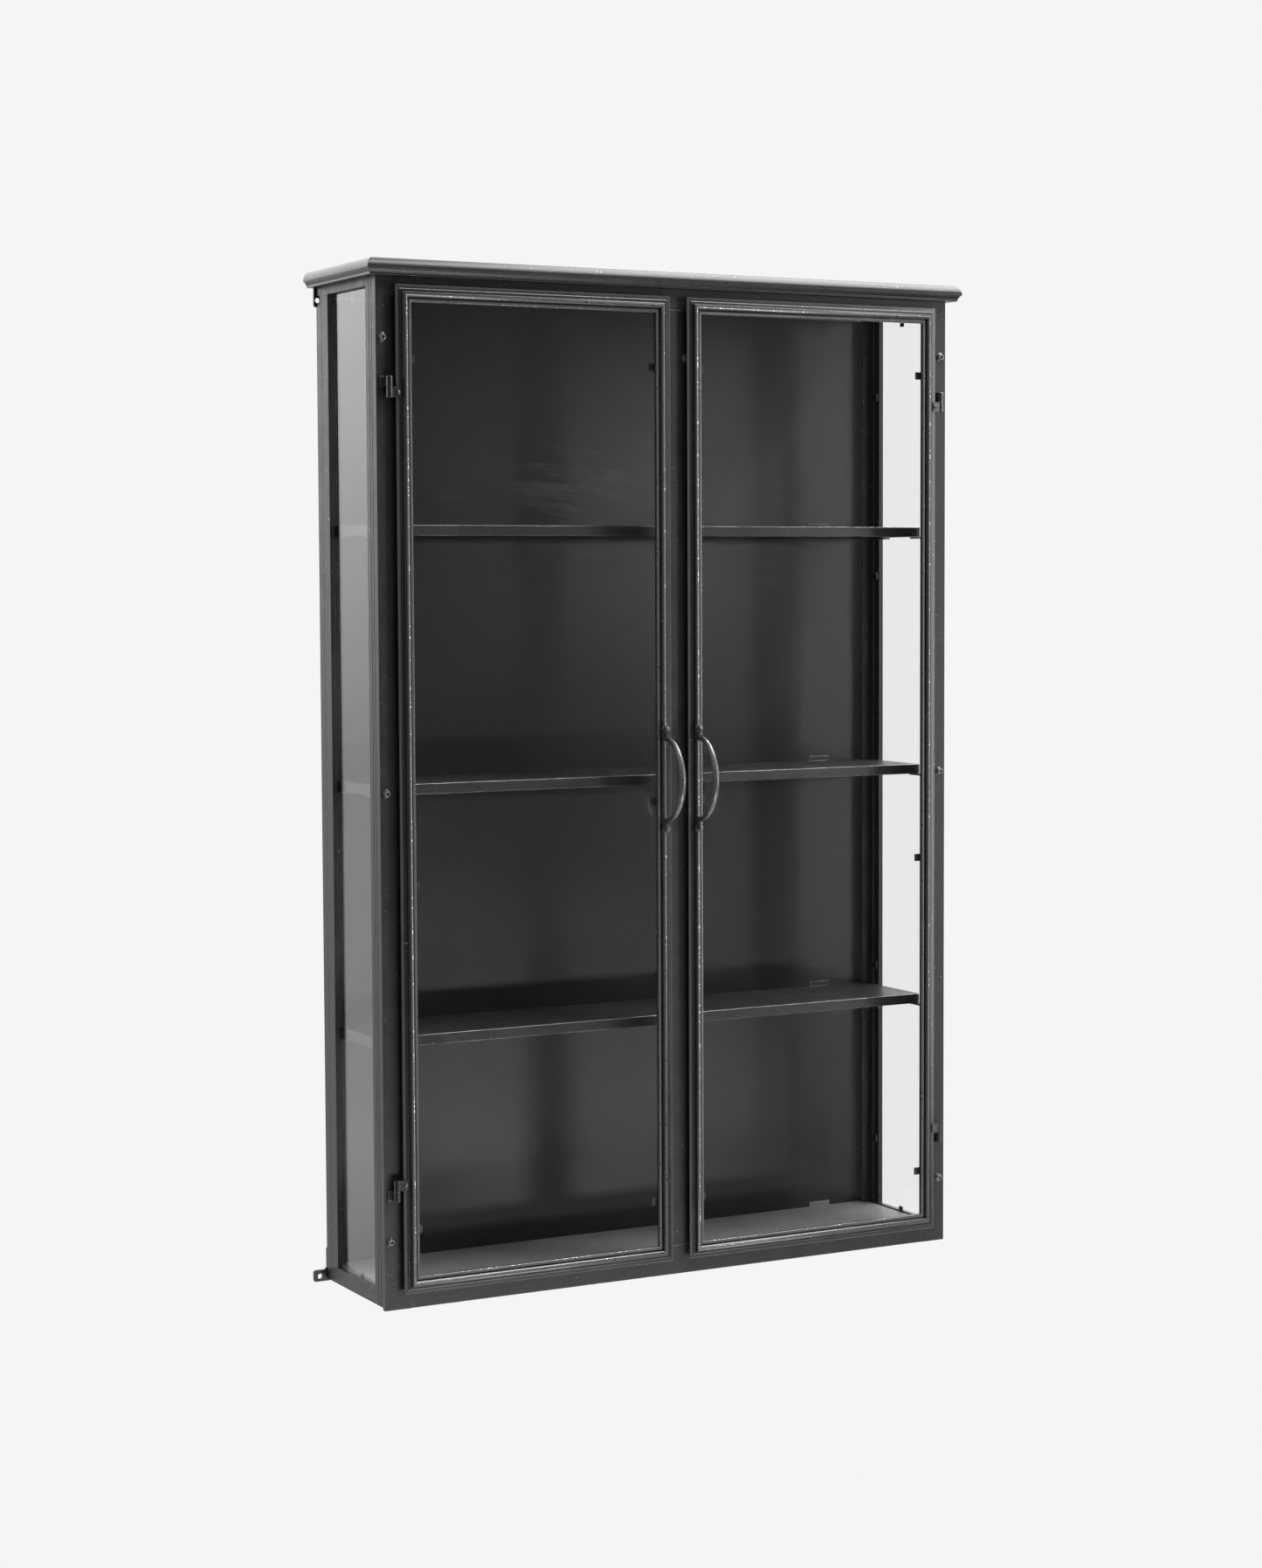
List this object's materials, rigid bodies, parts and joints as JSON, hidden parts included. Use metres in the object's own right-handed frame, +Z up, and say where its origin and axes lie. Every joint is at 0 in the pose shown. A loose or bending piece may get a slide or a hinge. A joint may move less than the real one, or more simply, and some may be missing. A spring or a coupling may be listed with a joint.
{
  "type": "wall showcase",
  "caption": "Wall-hung black steel showcase with glazed sides, sheet-metal shelves and a pair of framed glass doors on pin hinges under a rolled cornice.",
  "frame": {"origin": "middle of the rear top rail on its wall face", "axes": "+X to the right seen from the front, +Y into the wall, +Z up"},
  "size_m": [0.8036, 0.2364, 1.2],
  "materials": {
    "black_paint": "black satin paint over steel bar, rubbed bright along its raised edges",
    "black_sheet": "black satin paint on folded sheet",
    "blackened_iron": "blackened, semi-gloss, worn bright in specks",
    "socket_screw": "blackened screw with a bright rim",
    "magnet": "nickel-plated",
    "clear_glass": "clear float glass"
  },
  "bodies": {
    "carcass": {"back_panel": "black_sheet", "bottom_panel": "black_sheet", "cornice_front": "black_paint", "cornice_left": "black_paint", "cornice_right": "black_paint", "door_magnet_left": "magnet", "door_magnet_right": "magnet", "face_bottom_rail": "black_paint", "face_mullion": "black_paint", "face_stile_left": "black_paint", "face_stile_right": "black_paint", "face_top_rail": "black_paint", "frame_screw_lower_left": "socket_screw", "frame_screw_lower_right": "socket_screw", "frame_screw_middle_left": "socket_screw", "frame_screw_middle_right": "socket_screw", "frame_screw_upper_left": "socket_screw", "frame_screw_upper_right": "socket_screw", "hinge_lower_left_fixed": "blackened_iron", "hinge_lower_right_fixed": "blackened_iron", "hinge_upper_left_fixed": "blackened_iron", "hinge_upper_right_fixed": "blackened_iron", "rear_bottom_rail": "black_paint", "rear_post_left": "black_paint", "rear_post_right": "black_paint", "rear_top_rail": "black_paint", "shelf_lower": "black_sheet", "shelf_middle": "black_sheet", "shelf_upper": "black_sheet", "side_bottom_rail_left": "black_paint", "side_bottom_rail_right": "black_paint", "side_front_stile_left": "black_paint", "side_front_stile_right": "black_paint", "side_glass_left": "clear_glass", "side_glass_right": "clear_glass", "side_rear_stile_left": "black_paint", "side_rear_stile_right": "black_paint", "side_top_rail_left": "black_paint", "side_top_rail_right": "black_paint", "top_panel": "black_sheet", "wall_lug_lower_left": "black_paint", "wall_lug_lower_right": "black_paint", "wall_lug_upper_left": "black_paint", "wall_lug_upper_right": "black_paint"},
    "door_left": {"door_left_bottom": "black_paint", "door_left_glass": "clear_glass", "door_left_handle": "blackened_iron", "door_left_hinge_side": "black_paint", "door_left_pull_side": "black_paint", "door_left_top": "black_paint", "hinge_lower_left_door": "blackened_iron", "hinge_upper_left_door": "blackened_iron"},
    "door_right": {"door_right_bottom": "black_paint", "door_right_glass": "clear_glass", "door_right_handle": "blackened_iron", "door_right_hinge_side": "black_paint", "door_right_pull_side": "black_paint", "door_right_top": "black_paint", "hinge_lower_right_door": "blackened_iron", "hinge_upper_right_door": "blackened_iron"}
  },
  "joints": [
    {"name": "left_door_hinge", "type": "hinge", "parent": "carcass", "child": "door_left", "pos_m": [-0.372, -0.185, -0.57725], "axis": [0, 0, -1], "range_deg": [0, 180]},
    {"name": "right_door_hinge", "type": "hinge", "parent": "carcass", "child": "door_right", "pos_m": [0.372, -0.185, -0.57725], "axis": [0, 0, 1], "range_deg": [0, 180]}
  ]
}
